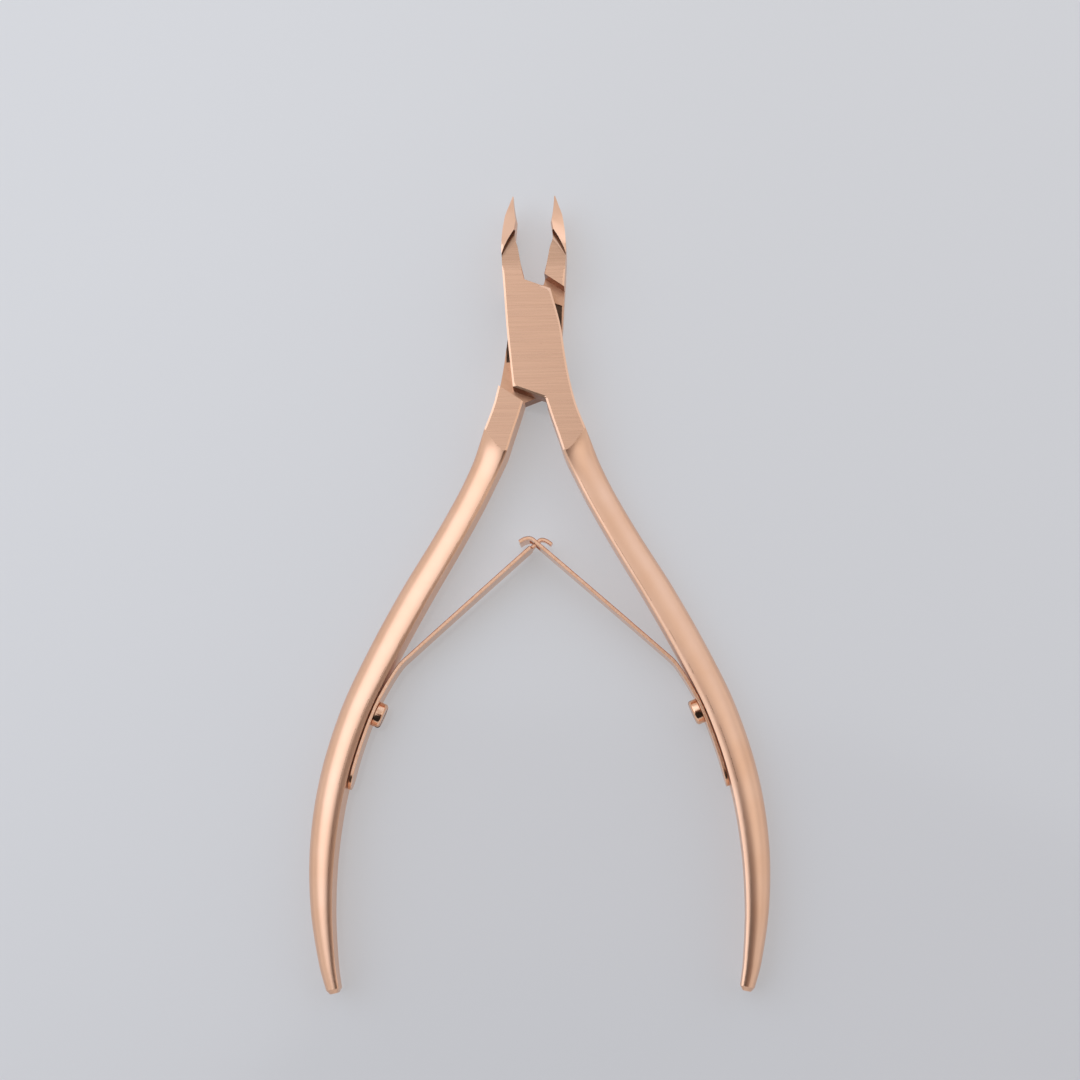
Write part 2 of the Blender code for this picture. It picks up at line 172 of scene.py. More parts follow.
# Fineness of the meshes
STATION_STEP = 0.6              # spacing of the sections along a half
SHARE_COUNT = 44                # spans across a section
EDGE_REACH = 14                 # steps each way in which a section's nearest edge is looked for
END_SHRINK = 0.62               # size of the handle's end face beside the section before it
RIM_STEPS = 8                   # steps between two points of the hollow's rim
HOLLOW_MARGIN = 0.04            # how near the wheel's surface a point of the hollow lies
LEAF_STEP = 0.25                # spacing of the sections along a leaf
ROUND_SIDES = 96
HOLE_SIDES = 48
HEAD_STEPS = 6                  # steps over the rounded edge of a screw head
CREASE = 30.0                   # angle from which an edge stays crisp
FORGING_CREASE = 9.0            # and on the two halves
MOST_CORNERS = 8                # a face with more than this keeps a crisp border


# ---------------------------------------------------------------- curves

def polar(angle):
    """Unit vector at an angle in degrees from +X."""
    return Vector((math.cos(math.radians(angle)), math.sin(math.radians(angle))))


def smooth_step(start, end, value):
    """0 before start, 1 after end, and a smooth ramp between."""
    share = min(1.0, max(0.0, (value - start) / (end - start)))
    return share * share * (3 - 2 * share)


def path_lengths(points):
    """Distance from the first point to each point, along the straight lines between them."""
    lengths = [0.0]
    for start, end in zip(points, points[1:]):
        lengths.append(lengths[-1] + (end - start).length)
    return lengths


def slope_at(points, knots, index, one_sided):
    """Rate of change at a point: over both neighbours, or over one side where that is asked."""
    before, after = max(index - 1, 0), min(index + 1, len(points) - 1)
    if one_sided == "before":
        after = index
    elif one_sided == "after":
        before = index
    return (points[after] - points[before]) / (knots[after] - knots[before])


def smooth_line(points, counts, corners=(), knots=None):
    """Curve through the points, with counts[i] steps from point i to the next."""
    points = [Vector(point) for point in points]
    knots = knots or path_lengths(points)
    line = [points[0]]
    for i, count in enumerate(counts):
        start, end = points[i], points[i + 1]
        span = knots[i + 1] - knots[i]
        leave = span * slope_at(points, knots, i, "after" if i in corners else None)
        arrive = span * slope_at(points, knots, i + 1, "before" if i + 1 in corners else None)
        for step in range(1, count + 1):
            t = step / count
            line.append(start * (2 * t**3 - 3 * t**2 + 1) + end * (3 * t**2 - 2 * t**3)
                        + leave * (t**3 - 2 * t**2 + t) + arrive * (t**3 - t**2))
    return line


def line_point(distance, slope, x, side):
    """Point at x on a straight edge that falls to the right at slope, above or below the pivot."""
    normal = polar(90 - slope) * side
    return (x, (distance - normal.x * x) / normal.y)


# ---------------------------------------------------------------- mesh helpers

def new_piece(name, mesh_data, place, materials):
    """Object from a bmesh, moved by place."""
    bmesh.ops.recalc_face_normals(mesh_data, faces=mesh_data.faces)
    bmesh.ops.transform(mesh_data, matrix=place, verts=mesh_data.verts)
    mesh = bpy.data.meshes.new(name)
    mesh_data.to_mesh(mesh)
    mesh_data.free()
    for material in materials:
        mesh.materials.append(material)
    item = bpy.data.objects.new(name, mesh)
    bpy.context.collection.objects.link(item)
    return item


def loft(rings):
    """Closed skin over rings of equal length, with both ends capped."""
    mesh_data = bmesh.new()
    loops = [[mesh_data.verts.new(point) for point in ring] for ring in rings]
    count = len(loops[0])
    for first, second in zip(loops, loops[1:]):
        for i in range(count):
            j = (i + 1) % count
            mesh_data.faces.new((first[i], first[j], second[j], second[i]))
    mesh_data.faces.new(loops[0])
    mesh_data.faces.new(loops[-1])
    return mesh_data


def turned(profile, start, axis, sides):
    """Solid of revolution; profile lists (distance along the axis, radius)."""
    axis = Vector(axis).normalized()
    across = axis.orthogonal().normalized()
    up = axis.cross(across)
    turns = [2 * math.pi * i / sides for i in range(sides)]
    rings = []
    for distance, radius in profile:
        centre = Vector(start) + axis * distance
        rings.append([centre + radius * (across * math.cos(t) + up * math.sin(t)) for t in turns])
    return loft(rings)


def box(centre, axes, half_sizes):
    """Box about a centre, with its half sizes along three axes."""
    mesh_data = bmesh.new()
    bmesh.ops.create_cube(mesh_data, size=2.0)
    columns = [Vector(axis).normalized() * size for axis, size in zip(axes, half_sizes)]
    turn = Matrix(columns).transposed().to_4x4()
    bmesh.ops.transform(mesh_data, matrix=Matrix.Translation(centre) @ turn, verts=mesh_data.verts)
    return mesh_data


def carve(item, cutters, place):
    """Cut shapes out of a piece, one after another, and keep the result as its mesh."""
    for cutter_data in cutters:
        cutter = new_piece("cutter", cutter_data, place, [])
        modifier = item.modifiers.new("carve", 'BOOLEAN')
        modifier.operation = 'DIFFERENCE'
        modifier.solver = 'EXACT'
        modifier.object = cutter
        bpy.context.view_layer.update()
        evaluated = item.evaluated_get(bpy.context.evaluated_depsgraph_get())
        carved = bpy.data.meshes.new_from_object(evaluated)
        item.modifiers.clear()
        item.data = carved
        bpy.data.objects.remove(cutter)


def shade(item, angle=CREASE):
    """Smooth shading with crisp edges, and crisp borders round the faces with many corners."""
    mesh = item.data
    mesh.shade_smooth()
    mesh.set_sharp_from_angle(angle=math.radians(angle))
    mesh_data = bmesh.new()
    mesh_data.from_mesh(mesh)
    for face in mesh_data.faces:
        if len(face.verts) > MOST_CORNERS:
            for edge in face.edges:
                edge.smooth = False
    mesh_data.to_mesh(mesh)
    mesh_data.free()


# ---------------------------------------------------------------- the two halves

def flat_stations():
    """Rows from tip to crotch: left edge, right edge, and the half heights at the left edge,
    at the bevel line and at the right edge."""
    close = math.radians(HALF_OPENING)
    tip_x = -TIP_Y * math.sin(close) - EDGE_GAP
    heel_x = -HEEL_Y * math.sin(close) - EDGE_GAP
    return [
        ((tip_x - 0.14, TIP_Y), (tip_x, TIP_Y - 0.05), 0.35, 0.30, 0.05),
        ((-3.73, 19.45), (-2.86, 19.85), 1.30, 1.12, 0.05),
        ((-4.17, 18.05), (-2.68, 18.60), 1.95, 1.64, 0.05),
        ((-4.44, 16.40), (heel_x, HEEL_Y), 2.45, 2.08, 0.05),
        ((-4.56, 15.54), (-2.62, 16.30), 2.68, 2.32, 1.60),
        ((-4.65, 14.40), (-2.77, 14.55), 2.95, 2.72, 2.60),
        ((-4.71, 12.78), (-2.38, 13.20), 3.20, 3.14, 3.10),
        ((-4.62, 10.49), (-1.91, 10.49), UNCUT, UNCUT, UNCUT),
        ((-4.51, 8.41), line_point(LAP_TOP, LAP_SLOPE, -1.35, 1), UNCUT, UNCUT, UNCUT),
        ((-4.33, 5.92), line_point(LAP_TOP, LAP_SLOPE, 2.38, 1), UNCUT, UNCUT, UNCUT),
        ((-4.00, 0.95), (3.78, 1.27), UNCUT, UNCUT, UNCUT),
        ((-3.61, -3.37), (4.51, -3.78), UNCUT, UNCUT, UNCUT),
        (line_point(LAP_BOTTOM, LAP_SLOPE, -3.15, -1), (5.06, -6.85), UNCUT, UNCUT, UNCUT),
        (line_point(LAP_BOTTOM, LAP_SLOPE, 1.55, -1), (5.70, -9.62), UNCUT, UNCUT, UNCUT),
    ]


# Corners of the outline and of the heights, as rows of flat_stations.
LEFT_CORNERS = {12, 13}         # ends of the lap's lower edge
RIGHT_CORNERS = {3, 8, 9}       # heel of the cutting edge and ends of the lap's upper edge
HEIGHT_CORNERS = {3, 7, 13}     # heel, end of the head and start of the handle


def handle_stations():
    """The handle's rows in the same form as flat_stations."""
    centres = [Vector(row[:2]) for row in HANDLE]
    knots = path_lengths(centres)
    rows = []
    for i, (x, y, width, crown) in enumerate(HANDLE):
        along = slope_at(centres, knots, i, None).normalized()
        outward = Vector((-along.y, along.x)) * width / 2
        rows.append((centres[i] - outward, centres[i] + outward, crown, crown, crown))
    return rows


def section_shares():
    """Where the points of a section stand across its width: closest at both edges."""
    shares = [(1 - math.cos(math.pi * i / SHARE_COUNT)) / 2 for i in range(SHARE_COUNT + 1)]
    nearest = min(range(len(shares)), key=lambda i: abs(shares[i] - BEVEL_LINE))
    shares[nearest] = BEVEL_LINE
    return shares


def top_height(share, y, left_height, right_height, edge_height):
    """Half height of the body at a share of the width from its left edge."""
    if share > BEVEL_LINE:
        bevel = (share - BEVEL_LINE) / (1 - BEVEL_LINE)
        wedge = right_height + (edge_height - right_height) * bevel
    else:
        wedge = left_height + (right_height - left_height) * share / BEVEL_LINE
    ridge = NECK_RIDGE + (END_RIDGE - NECK_RIDGE) * smooth_step(-RIDGE_SHIFT_Y[0], -RIDGE_SHIFT_Y[1], -y)
    if share < ridge:
        rounded = 1 - INNER_DROP * (1 - share / ridge) ** 2
    else:
        side = (share - ridge) / (1 - ridge)
        rounded = max(OUTER_WALL, (1 - side**OUTER_POWER) ** (1 / OUTER_POWER))
    weight = smooth_step(-ROUND_START_Y, -ROUND_FULL_Y, -y)
    return wedge * (1 - weight + weight * rounded)


def edge_distance(point, line, index):
    """Distance from a point to the nearest part of an outline edge, near a given station."""
    nearby = line[max(0, index - EDGE_REACH):index + EDGE_REACH + 1]
    nearest = math.inf
    for start, end in zip(nearby, nearby[1:]):
        along = end - start
        share = min(1.0, max(0.0, (point - start).dot(along) / along.length_squared))
        nearest = min(nearest, (start + along * share - point).length)
    return nearest


def section(index, lefts, rights, heights, shares):
    """Ring of points around the body at one station, with the flats' edges broken."""
    top = []
    for share in shares:
        point = lefts[index].lerp(rights[index], share)
        height = top_height(share, point.y, *heights[index])
        if height > HALF_THICKNESS - CHAMFER_HEIGHT:
            right_edge = edge_distance(point, rights, index)
            if point.y > LAP_TOP:
                right_edge *= JAW_CHAMFER_SHARE
            edge = min(edge_distance(point, lefts, index), right_edge)
            slope = CHAMFER_HEIGHT / CHAMFER_WIDTH
            height = min(height, HALF_THICKNESS - CHAMFER_HEIGHT + edge * slope)
        top.append((point.x, point.y, height))
    bottom = [(x, y, -z) for x, y, z in reversed(top)]
    return top + bottom


def shrink(ring, scale):
    """The same ring, smaller about its own middle."""
    points = [Vector(point) for point in ring]
    middle = sum(points, Vector()) / len(points)
    return [middle + (point - middle) * scale for point in points]


def body_rings():
    """Sections of one half from the jaw tip to the handle's end."""
    rows = flat_stations() + handle_stations()
    lefts = [Vector(row[0]) for row in rows]
    rights = [Vector(row[1]) for row in rows]
    heights = [Vector(row[2:5]) for row in rows]
    centres = [(left + right) / 2 for left, right in zip(lefts, rights)]
    counts = []
    for i in range(len(rows) - 1):
        span = max((side[i + 1] - side[i]).length for side in (lefts, rights))
        counts.append(max(1, round(span / STATION_STEP)))
    left_line = smooth_line(lefts, counts, LEFT_CORNERS)
    right_line = smooth_line(rights, counts, RIGHT_CORNERS)
    height_line = smooth_line(heights, counts, HEIGHT_CORNERS, path_lengths(centres))
    shares = section_shares()
    rings = [section(i, left_line, right_line, height_line, shares) for i in range(len(left_line))]
    rings[-1] = shrink(rings[-1], END_SHRINK)
    return rings


def grind_flat(body, side):
    """Cut the body off level at its half thickness, above or below."""
    geometry = body.verts[:] + body.edges[:] + body.faces[:]
    bmesh.ops.bisect_plane(body, geom=geometry, dist=1e-5, plane_co=(0, 0, side * HALF_THICKNESS),
                           plane_no=(0, 0, side), clear_outer=True)
    rim = [edge for edge in body.edges if edge.is_boundary]
    bmesh.ops.contextual_create(body, geom=rim)


def lap_recess():
    """The space below the upper lap, between its two shoulders, where the other lap swings."""
    across = polar(90 + SHOULDER_SLOPE).to_3d()
    along = polar(SHOULDER_SLOPE).to_3d()
    middle = across * (SHOULDER_TOP - SHOULDER_BOTTOM) / 2
    middle.z = -HALF_THICKNESS + LAP_GAP / 2
    reach = (SHOULDER_TOP + SHOULDER_BOTTOM) / 2
    return box(middle, (along, across, (0, 0, 1)), (4 * LAP_BOTTOM, reach, HALF_THICKNESS))


RIM_LINE = smooth_line(SCOOP_RIM, [RIM_STEPS] * (len(SCOOP_RIM) - 1))


def scoop_height(y, rim_y, fillet):
    """Half height left by the grinding wheel at y: a curved drop below its rim, then a slow rise."""
    top = HALF_THICKNESS + SCOOP_RUN_OUT
    floor = top - (SCOOP_DEPTH + SCOOP_RUN_OUT) * smooth_step(SCOOP_END_Y, SCOOP_FULL_Y, y)
    rest = 1 - min(1.0, (rim_y - y) / fillet)
    return floor + (top - floor) * rest**2


def fillet_at(place):
    """Length of the curved drop at a place along the hollow's rim from 0 to 1."""
    return SCOOP_FILLET[0] + (SCOOP_FILLET[1] - SCOOP_FILLET[0]) * place


def scoop(side):
    """Hollow ground behind the cutting edge: steep below its rim and running out into the flat."""
    rings = []
    for i, point in enumerate(RIM_LINE):
        fillet = fillet_at(i / (len(RIM_LINE) - 1))
        ring = [(point.x, point.y, side * 2 * HALF_THICKNESS)]
        for step in range(SCOOP_STEPS + 1):
            y = point.y + (SCOOP_END_Y - point.y) * (step / SCOOP_STEPS) ** 1.5
            ring.append((point.x, y, side * scoop_height(y, point.y, fillet)))
        ring.append((point.x, SCOOP_END_Y, side * 2 * HALF_THICKNESS))
        rings.append(ring)
    return loft(rings)


def rim_at(x):
    """The y of the hollow's rim at x, and the place along the rim from 0 to 1."""
    last = len(RIM_LINE) - 1
    i = next((index for index in range(1, last) if RIM_LINE[index].x < x), last)
    start, end = RIM_LINE[i - 1], RIM_LINE[i]
    share = min(1.0, max(0.0, (x - start.x) / (end.x - start.x)))
    return start.lerp(end, share).y, (i - 1 + share) / last


def on_hollow(point):
    """Whether a point of the half's surface lies on the surface left by the grinding wheel."""
    rim_y, place = rim_at(point.x)
    if not SCOOP_END_Y < point.y < rim_y:
        return False
    return abs(abs(point.z) - scoop_height(point.y, rim_y, fillet_at(place))) < HOLLOW_MARGIN


def mark_hollow(half, to_drawn):
    """Store how far below its rim each point of the hollow lies, for the painted shade there: 0 at the rim,
    1 where it is clear.
    """
    marks = half.data.attributes.new("below_rim", 'FLOAT', 'POINT')
    for vertex, mark in zip(half.data.vertices, marks.data):
        point = to_drawn @ vertex.co
        rim_y, place = rim_at(point.x)
        reach = HOLLOW_PAINTED_SHADE_REACH[0] + (HOLLOW_PAINTED_SHADE_REACH[1] - HOLLOW_PAINTED_SHADE_REACH[0]) * place
        mark.value = min(1.0, max(0.0, (rim_y - point.y) / reach))


def lap_pocket(outline, depth):
    """Relief milled into the lap's face, round the pivot and short of the shoulders."""
    levels = (-HALF_THICKNESS, LAP_GAP / 2 + depth)
    return loft([[(x, y, z) for x, y in outline] for z in levels])


def rivet(radius, length):
    """Round pin about the pivot's axis, centred on the mid-plane."""
    return turned([(0, radius), (length, radius)], (0, 0, -length / 2), (0, 0, 1), ROUND_SIDES)


# Places of the materials in a forging's list, in the order that main gives them.
SATIN, GROUND_FLAT, LAP_FACE, POCKET_FLOOR, LAP_WALL, HOLLOW = range(6)

# How a face is told apart: the least agreement of its normal, and the room round a limit.
LEVEL = 0.9999
SHOULDER_FACING = 0.999
LAP_END_FACING = 0.99
FACE_MARGIN = 0.1


def forging_finish(face, to_drawn):
    """Material of a face, as its place in the list of the forging's materials."""
    centre = to_drawn @ face.center
    normal = (to_drawn.to_3x3() @ face.normal).normalized()
    shoulder = polar(90 + SHOULDER_SLOPE).to_3d()
    lap_end = polar(90 - LAP_SLOPE).to_3d()
    reach = centre.dot(shoulder)
    between_shoulders = -SHOULDER_BOTTOM - FACE_MARGIN < reach < SHOULDER_TOP + FACE_MARGIN
    in_lap = centre.z < LAP_GAP + POCKET_DEPTH and between_shoulders
    level = abs(normal.z) > LEVEL
    if level and abs(centre.z) > HALF_THICKNESS / 2:
        return GROUND_FLAT
    if in_lap and level:
        return POCKET_FLOOR if centre.z > LAP_GAP + PAD_DEPTH else LAP_FACE
    if in_lap and abs(normal.dot(shoulder)) > SHOULDER_FACING:
        return LAP_WALL
    if abs(normal.dot(lap_end)) > LAP_END_FACING and centre.dot(lap_end) < FACE_MARGIN - LAP_BOTTOM:
        return LAP_WALL
    if on_hollow(centre):
        return HOLLOW
    return SATIN


def forging(name, body, place, materials):
    """One half: body, ground flats, broken edges, lap and holes."""
    blank = loft(body_rings())
    for side in (1, -1):
        grind_flat(blank, side)
    half = new_piece(name, blank, place, materials)
    cutters = [scoop(1), scoop(-1), lap_recess(), lap_pocket(PAD, PAD_DEPTH),
               lap_pocket(POCKET, POCKET_DEPTH),
               rivet(RIVET_RADIUS + RIVET_GAP, 4 * HALF_THICKNESS),
               screw_hole(-SCREW_LENGTH - WALL_GAP, 1)]
    carve(half, cutters, place)
    to_drawn = place.inverted()
    for face in half.data.polygons:
        face.material_index = forging_finish(face, to_drawn)
    mark_hollow(half, to_drawn)
    shade(half, FORGING_CREASE)
    finish_piece(half, body, "satin_metal", name)
    return half


# ---------------------------------------------------------------- springs and screws

def inner_wall():
    """The handle's inner edge, as a fine line from the neck to the end."""
    points = [row[0] for row in handle_stations()]
    return smooth_line(points, [12] * (len(points) - 1))


def wall_at(y):
    """Point on the handle's inner wall at y, and the direction away from the handle there."""
    line = inner_wall()
    index = min(range(1, len(line) - 1), key=lambda i: abs(line[i].y - y))
    along = (line[index - 1] - line[index + 1]).normalized()
    return line[index], Vector((-along.y, along.x))


def off_wall(y, distance):
    """Point at a distance from the inner wall."""
    point, away = wall_at(y)
    return point + away * distance


def leaf_line(tip):
    """Fine centre line of a leaf: along the handle, over the bend, up the arm and to the tip."""
    stand_off = WALL_GAP + LEAF_THICKNESS / 2
    tail = [off_wall(TAIL_Y + (LIFT_Y - TAIL_Y) * i / 5, stand_off) for i in range(6)]
    points = [*tail, BEND, ARM_START, CROSSING, *tip]
    return smooth_line(points, [24] * (len(points) - 1))


def along_line(line, lengths, distance):
    """Point and direction at a distance along a line."""
    i = max(index for index, start in enumerate(lengths[:-1]) if start <= distance)
    share = (distance - lengths[i]) / (lengths[i + 1] - lengths[i])
    return line[i].lerp(line[i + 1], share), (line[i + 1] - line[i]).normalized()


def leaf_half_width(distance, tongue_start):
    """Half width of a leaf at a distance from its tail end; a tongue starts with short shoulders."""
    radius = LEAF_WIDTH / 2
    if distance < radius:
        return math.sqrt(radius**2 - (radius - distance) ** 2)
    narrow = smooth_step(0, TONGUE_SHOULDER, distance - tongue_start)
    return radius + (TONGUE_WIDTH / 2 - radius) * narrow


def leaf(name, place, tip, has_tongue, materials):
    """A flat spring: a strip on edge, with a round tail, a screw hole and a formed tip."""
    line = leaf_line(tip)
    lengths = path_lengths(line)
    crossing = lengths[line.index(Vector(CROSSING))]
    tongue_start = crossing - TONGUE_REACH - TONGUE_SHOULDER if has_tongue else math.inf
    radius = LEAF_WIDTH / 2
    round_end = [radius * (1 - math.cos(math.pi / 2 * i / 12)) for i in range(1, 12)]
    count = round((lengths[-1] - radius) / LEAF_STEP)
    straight = [radius + (lengths[-1] - radius) * i / count for i in range(count + 1)]
    rings = []
    for distance in round_end + straight:
        point, along = along_line(line, lengths, distance)
        height = leaf_half_width(distance, tongue_start)
        rings.append(leaf_ring(point, along, height))
    item = new_piece(name, loft(rings), place, materials)
    cutters = [screw_hole(-WALL_GAP, 3)]
    if not has_tongue:
        cutters.append(tongue_slot(*along_line(line, lengths, crossing)))
    carve(item, cutters, place)
    shade(item)
    return item


def leaf_ring(point, along, height):
    """Section of a leaf: a thin rectangle with its four corners broken."""
    side = Vector((-along.y, along.x))
    half = LEAF_THICKNESS / 2
    edge = min(LEAF_EDGE, height / 2)
    ring = []
    for across, z in ((half, height - edge), (half - edge, height), (edge - half, height),
                      (-half, height - edge), (-half, edge - height), (edge - half, -height),
                      (half - edge, -height), (half, edge - height)):
        spot = point + side * across
        ring.append((spot.x, spot.y, z))
    return ring


def tongue_slot(centre, along):
    """Slot in the right leaf's tip for the left leaf's tongue."""
    across = Vector((-along.y, along.x, 0))
    half_sizes = (SLOT_LENGTH / 2, 2 * LEAF_THICKNESS, SLOT_WIDTH / 2)
    return box(centre.to_3d(), (along.to_3d(), across, (0, 0, 1)), half_sizes)


def screw_hole(start, end):
    """Round hole on the screw's axis between two distances from the handle's inner wall."""
    wall, away = wall_at(SCREW_Y)
    radius = SCREW_RADIUS + HOLE_GAP
    return turned([(start, radius), (end, radius)], wall.to_3d(), away.to_3d(), HOLE_SIDES)


def spring_screw(name, body, place, materials):
    """Slotted cheese-head screw through the leaf into the handle."""
    wall, away = wall_at(SCREW_Y)
    away = away.to_3d()
    seat = WALL_GAP + LEAF_THICKNESS + SEAT_GAP
    profile = [(-SCREW_LENGTH, SCREW_RADIUS * SCREW_POINT_SHARE),
               (-SCREW_LENGTH + SCREW_POINT_LENGTH, SCREW_RADIUS),
               (seat, SCREW_RADIUS), (seat, SCREW_HEAD_RADIUS - SCREW_HEAD_EDGE),
               (seat + SCREW_HEAD_EDGE, SCREW_HEAD_RADIUS)]
    for i in range(HEAD_STEPS + 1):
        turn = math.pi / 2 * i / HEAD_STEPS
        profile.append((SCREW_TOP - SCREW_HEAD_CHAMFER * (1 - math.sin(turn)),
                        SCREW_HEAD_RADIUS - SCREW_HEAD_CHAMFER * (1 - math.cos(turn))))
    item = new_piece(name, turned(profile, wall.to_3d(), away, ROUND_SIDES), place, materials)
    across = Vector((-away.y, away.x, 0))
    slot_turn = math.radians(DRIVER_SLOT_TURN)
    width = across * math.cos(slot_turn) + Vector((0, 0, 1)) * math.sin(slot_turn)
    slot = box(wall.to_3d() + away * SCREW_TOP, (away, width, away.cross(width)),
               (DRIVER_SLOT_DEPTH, DRIVER_SLOT_WIDTH / 2, 2 * SCREW_HEAD_RADIUS))
    carve(item, [slot], place)
    shade(item)
    finish_piece(item, body, "screw_metal", name)
    return item


# ---------------------------------------------------------------- materials

NOISE_RANGE = (0.3, 0.7)


class Nodes:
    """Short calls for building the node tree of a material or of the world."""

    def __init__(self, data, shader="Principled BSDF"):
        data.use_nodes = True
        self.tree = data.node_tree
        self.shader = self.tree.nodes[shader]

    def add(self, kind, links=(), **values):
        """New node with its properties set and its inputs linked or set."""
        node = self.tree.nodes.new(kind)
        for key, value in values.items():
            setattr(node, key, value)
        for socket, value in dict(links).items():
            self.set(node.inputs[socket], value)
        return node

    def set(self, socket, value):
        """Link a socket to another, or give it a value."""
        if isinstance(value, bpy.types.NodeSocket):
            self.tree.links.new(value, socket)
        else:
            socket.default_value = value

    def noise(self, scale, detail, stretch=(1, 1, 1)):
        """Noise in object space; scale is in features per metre, divided by stretch."""
        place = self.add("ShaderNodeTexCoord").outputs["Object"]
        size = [scale / part for part in stretch]
        moved = self.add("ShaderNodeMapping", {"Vector": place, "Scale": size})
        return self.add("ShaderNodeTexNoise", {"Vector": moved.outputs[0], "Scale": 1.0,
                                               "Detail": detail}).outputs["Fac"]

    def ramp(self, value, low, high, out_low, out_high, kind='LINEAR'):
        """Map a value from one range to another."""
        node = self.add("ShaderNodeMapRange", {"Value": value, "From Min": low, "From Max": high,
                                               "To Min": out_low, "To Max": out_high},
                        interpolation_type=kind)
        return node.outputs[0]

    def spread(self, noise, out_low, out_high):
        """Map the part of a noise that holds nearly all of it to a range."""
        return self.ramp(noise, *NOISE_RANGE, out_low, out_high)

    def mix(self, share, first, second):
        """Mix of two colours."""
        node = self.tree.nodes.new("ShaderNodeMix")
        node.data_type = 'RGBA'
        self.set(node.inputs["Factor"], share)
        self.set(node.inputs[6], first)
        self.set(node.inputs[7], second)
        return node.outputs[2]


ROSE = (0.84, 0.50, 0.325, 1.0)
ROSE_LIGHT = (0.88, 0.55, 0.38, 1.0)
ROSE_DEEP = (0.78, 0.44, 0.27, 1.0)
BRUSHED = (0.62, 0.37, 0.245, 1.0)
BRUSHED_DEEP = (0.585, 0.345, 0.227, 1.0)
HOLLOW_LIGHT = (0.68, 0.41, 0.27, 1.0)
# painted shade for the hollow, darkest at its rim
HOLLOW_PAINTED_SHADE = (0.05, 0.025, 0.018, 1.0)


def metal(name):
    """New metallic material, and the calls that build its nodes."""
    material = bpy.data.materials.new(name)
    nodes = Nodes(material)
    nodes.shader.inputs["Metallic"].default_value = 1.0
    return material, nodes


def satin_metal():
    """Plated handles: satin with faint drawn lines and slightly uneven tone."""
    material, nodes = metal("satin_rose_gold")
    cloud = nodes.noise(160, 3)
    grain = nodes.noise(9000, 3)
    color = nodes.mix(nodes.spread(cloud, 0, 1), ROSE, ROSE_LIGHT)
    nodes.set(nodes.shader.inputs["Base Color"], color)
    nodes.set(nodes.shader.inputs["Roughness"], nodes.spread(grain, 0.28, 0.35))
    bump = nodes.add("ShaderNodeBump", {"Height": grain, "Strength": 0.25, "Distance": 0.000004})
    nodes.set(nodes.shader.inputs["Normal"], bump.outputs[0])
    return material


def brushed_metal():
    """Ground flats: very fine straight brushing across the tool."""
    material, nodes = metal("brushed_rose_gold")
    fine = nodes.noise(9000, 1, (80, 1, 80))
    broad = nodes.noise(3500, 1, (90, 1, 90))
    color = nodes.mix(nodes.spread(broad, 0, 1), BRUSHED_DEEP, BRUSHED)
    color = nodes.mix(nodes.spread(fine, 0.1, 0.45), color, ROSE)
    nodes.set(nodes.shader.inputs["Base Color"], color)
    nodes.set(nodes.shader.inputs["Roughness"], nodes.spread(fine, 0.26, 0.31))
    bump = nodes.add("ShaderNodeBump", {"Height": fine, "Strength": 0.05, "Distance": 0.000004})
    nodes.set(nodes.shader.inputs["Normal"], bump.outputs[0])
    return material


def hollow_metal():
    """Hollow behind the cutting edge: wheel marks, and painted shade below its rim."""
    material, nodes = metal("hollow_rose_gold")
    marks = nodes.noise(9000, 1, (80, 1, 80))
    color = nodes.mix(nodes.spread(marks, 0, 1), BRUSHED, HOLLOW_LIGHT)
    below = nodes.add("ShaderNodeAttribute", attribute_name="below_rim").outputs["Fac"]
    # painted shade: the colour darkens to near black towards the rim
    color = nodes.mix(nodes.ramp(below, 0.05, 1.0, 0, 1, 'SMOOTHSTEP'), HOLLOW_PAINTED_SHADE, color)
    nodes.set(nodes.shader.inputs["Base Color"], color)
    nodes.set(nodes.shader.inputs["Roughness"], nodes.spread(marks, 0.24, 0.32))
    return material


def lap_faces_painted_shade_metal():
    """Lap faces, rubbed, with a darker tone as painted shade for the recess they lie in."""
    material, nodes = metal("painted_shade_lap_faces")
    film = nodes.noise(900, 3)
    # darker browns: painted shade on the recessed lap faces
    color = nodes.mix(nodes.spread(film, 0, 1), (0.56, 0.30, 0.18, 1), (0.66, 0.37, 0.23, 1))
    nodes.set(nodes.shader.inputs["Base Color"], color)
    nodes.set(nodes.shader.inputs["Roughness"], nodes.spread(film, 0.26, 0.36))
    return material


def lap_wall_painted_shade_metal():
    """Shoulders and ends of the laps: unpolished, coloured dark brown as painted shade."""
    material, nodes = metal("painted_shade_lap_wall")
    film = nodes.noise(1100, 3)
    # dark brown tones: painted shade on the shoulders and the lap ends
    color = nodes.mix(nodes.spread(film, 0, 1), (0.27, 0.085, 0.025, 1), (0.33, 0.115, 0.035, 1))
    nodes.set(nodes.shader.inputs["Base Color"], color)
    nodes.set(nodes.shader.inputs["Roughness"], nodes.spread(film, 0.25, 0.38))
    return material


def pocket_painted_shade_metal():
    """Bottom of the lap's pocket, coloured near black as painted shade."""
    material, nodes = metal("painted_shade_pocket")
    film = nodes.noise(1200, 3)
    # near-black tones: painted shade in the pocket
    color = nodes.mix(nodes.spread(film, 0, 1), (0.05, 0.03, 0.02, 1), (0.15, 0.09, 0.06, 1))
    nodes.set(nodes.shader.inputs["Base Color"], color)
    nodes.set(nodes.shader.inputs["Roughness"], nodes.spread(film, 0.35, 0.5))
    return material


def spring_metal():
    """Springs: brighter, smoother plating over rolled strip."""
    material, nodes = metal("spring_rose_gold")
    streak = nodes.noise(2500, 3)
    color = nodes.mix(nodes.spread(streak, 0, 1), ROSE_DEEP, ROSE_LIGHT)
    nodes.set(nodes.shader.inputs["Base Color"], color)
    nodes.set(nodes.shader.inputs["Roughness"], nodes.spread(streak, 0.16, 0.26))
    return material


